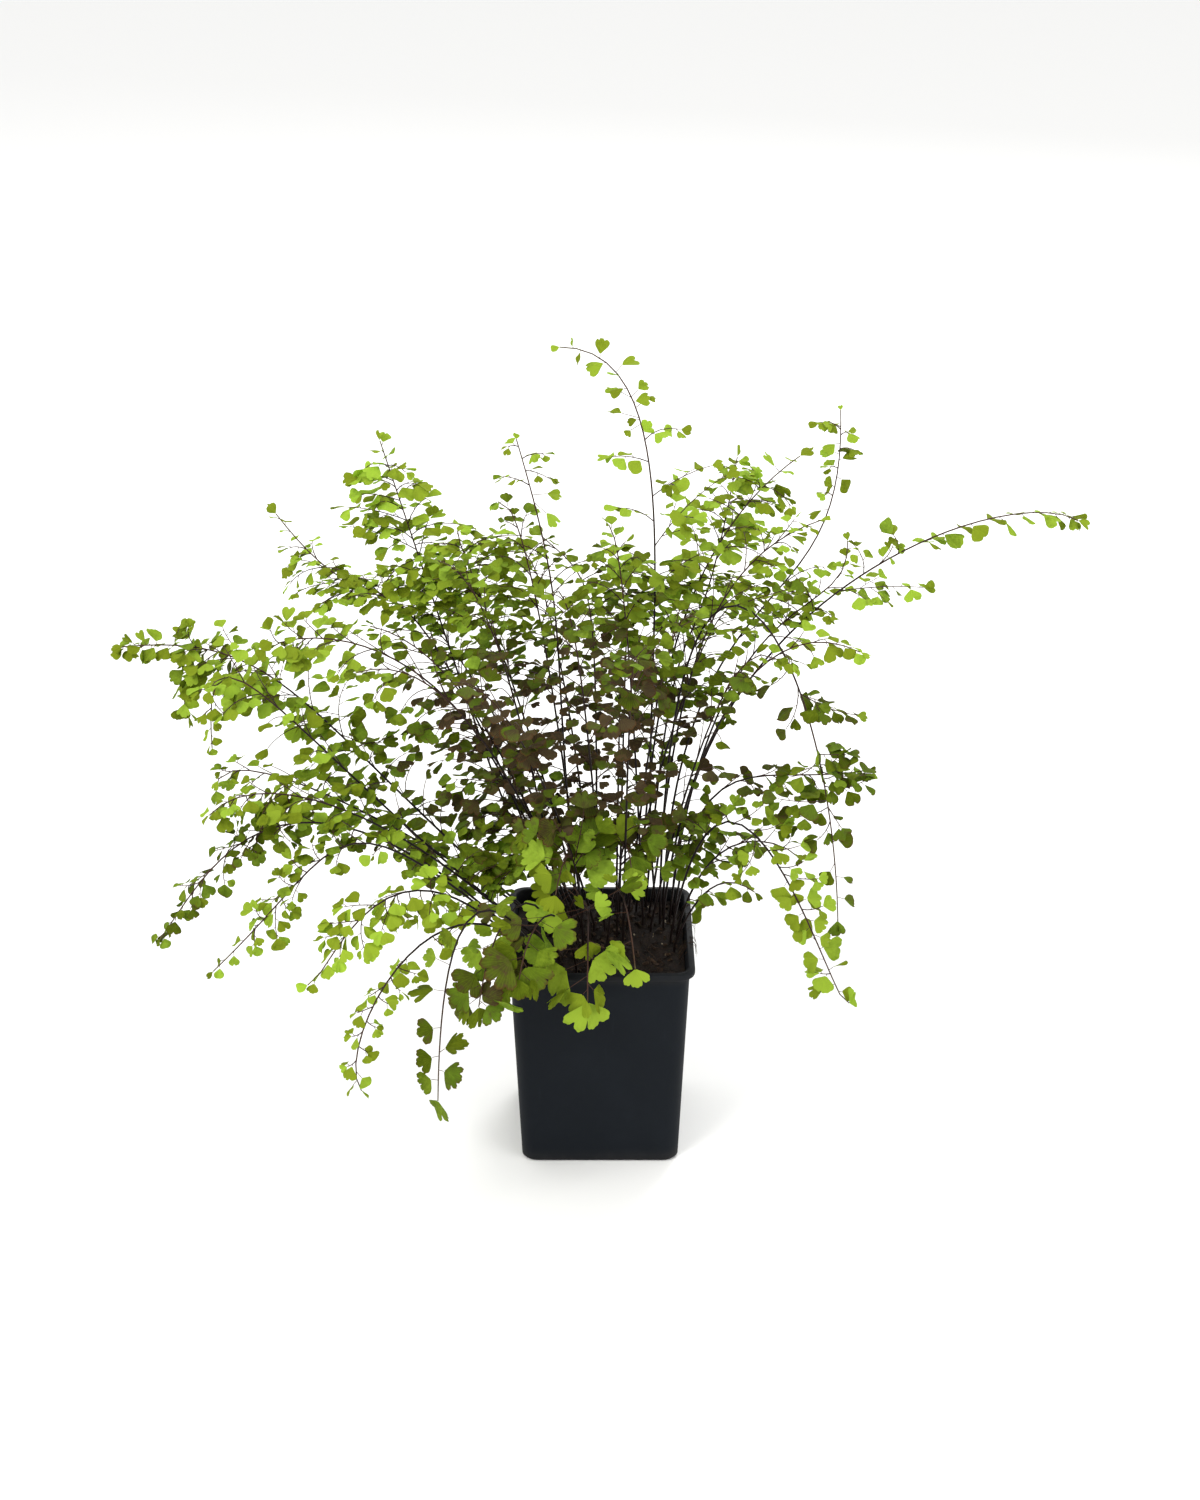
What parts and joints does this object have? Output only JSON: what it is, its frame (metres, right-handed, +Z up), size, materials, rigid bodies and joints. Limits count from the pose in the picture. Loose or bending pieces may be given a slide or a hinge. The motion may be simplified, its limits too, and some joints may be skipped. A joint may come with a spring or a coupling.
{
  "type": "potted maidenhair fern",
  "caption": "Maidenhair fern in a square tapered nursery pot filled with soil, with wiry stems and small fan-shaped leaflets arching well past the rim.",
  "frame": {"origin": "middle of the pot's flat underside", "axes": "+Z up, +X to the right along the longest reach of the fronds, -Y towards the front of the pot"},
  "size_m": [0.5427, 0.2699, 0.492],
  "materials": {
    "pot_plastic": "blue-black moulded polypropylene, satin, with faint scuffs",
    "potting_soil": "dark fibrous potting mix with a few pale specks",
    "young_frond": "bright yellow-green thin leaflets on near-black wiry stems",
    "old_frond": "dull olive to purple-brown leaflets on near-black wiry stems"
  },
  "bodies": {
    "root": {"pot": "pot_plastic", "soil": "potting_soil", "frond_01": "young_frond", "frond_02": "young_frond", "frond_03": "young_frond", "frond_04": "young_frond", "frond_05": "young_frond", "frond_06": "young_frond", "frond_07": "young_frond", "frond_08": "young_frond", "frond_09": "young_frond", "frond_10": "young_frond", "frond_11": "young_frond", "frond_12": "young_frond", "frond_13": "young_frond", "frond_14": "young_frond", "frond_15": "young_frond", "frond_16": "young_frond", "frond_17": "young_frond", "frond_18": "young_frond", "frond_19": "young_frond", "frond_20": "young_frond", "frond_21": "young_frond", "frond_22": "young_frond", "frond_23": "young_frond", "frond_24": "young_frond", "frond_25": "young_frond", "frond_26": "young_frond", "frond_27": "young_frond", "frond_28": "young_frond", "frond_29": "young_frond", "frond_30": "young_frond", "frond_31": "young_frond", "frond_32": "young_frond", "frond_33": "young_frond", "frond_34": "young_frond", "frond_35": "old_frond", "frond_36": "old_frond", "frond_37": "old_frond", "frond_38": "old_frond", "frond_39": "old_frond", "frond_40": "old_frond", "frond_41": "old_frond", "frond_42": "old_frond", "frond_43": "old_frond", "frond_44": "old_frond", "frond_45": "old_frond", "frond_46": "old_frond", "frond_47": "old_frond", "frond_48": "old_frond", "frond_49": "old_frond"}
  },
  "joints": []
}
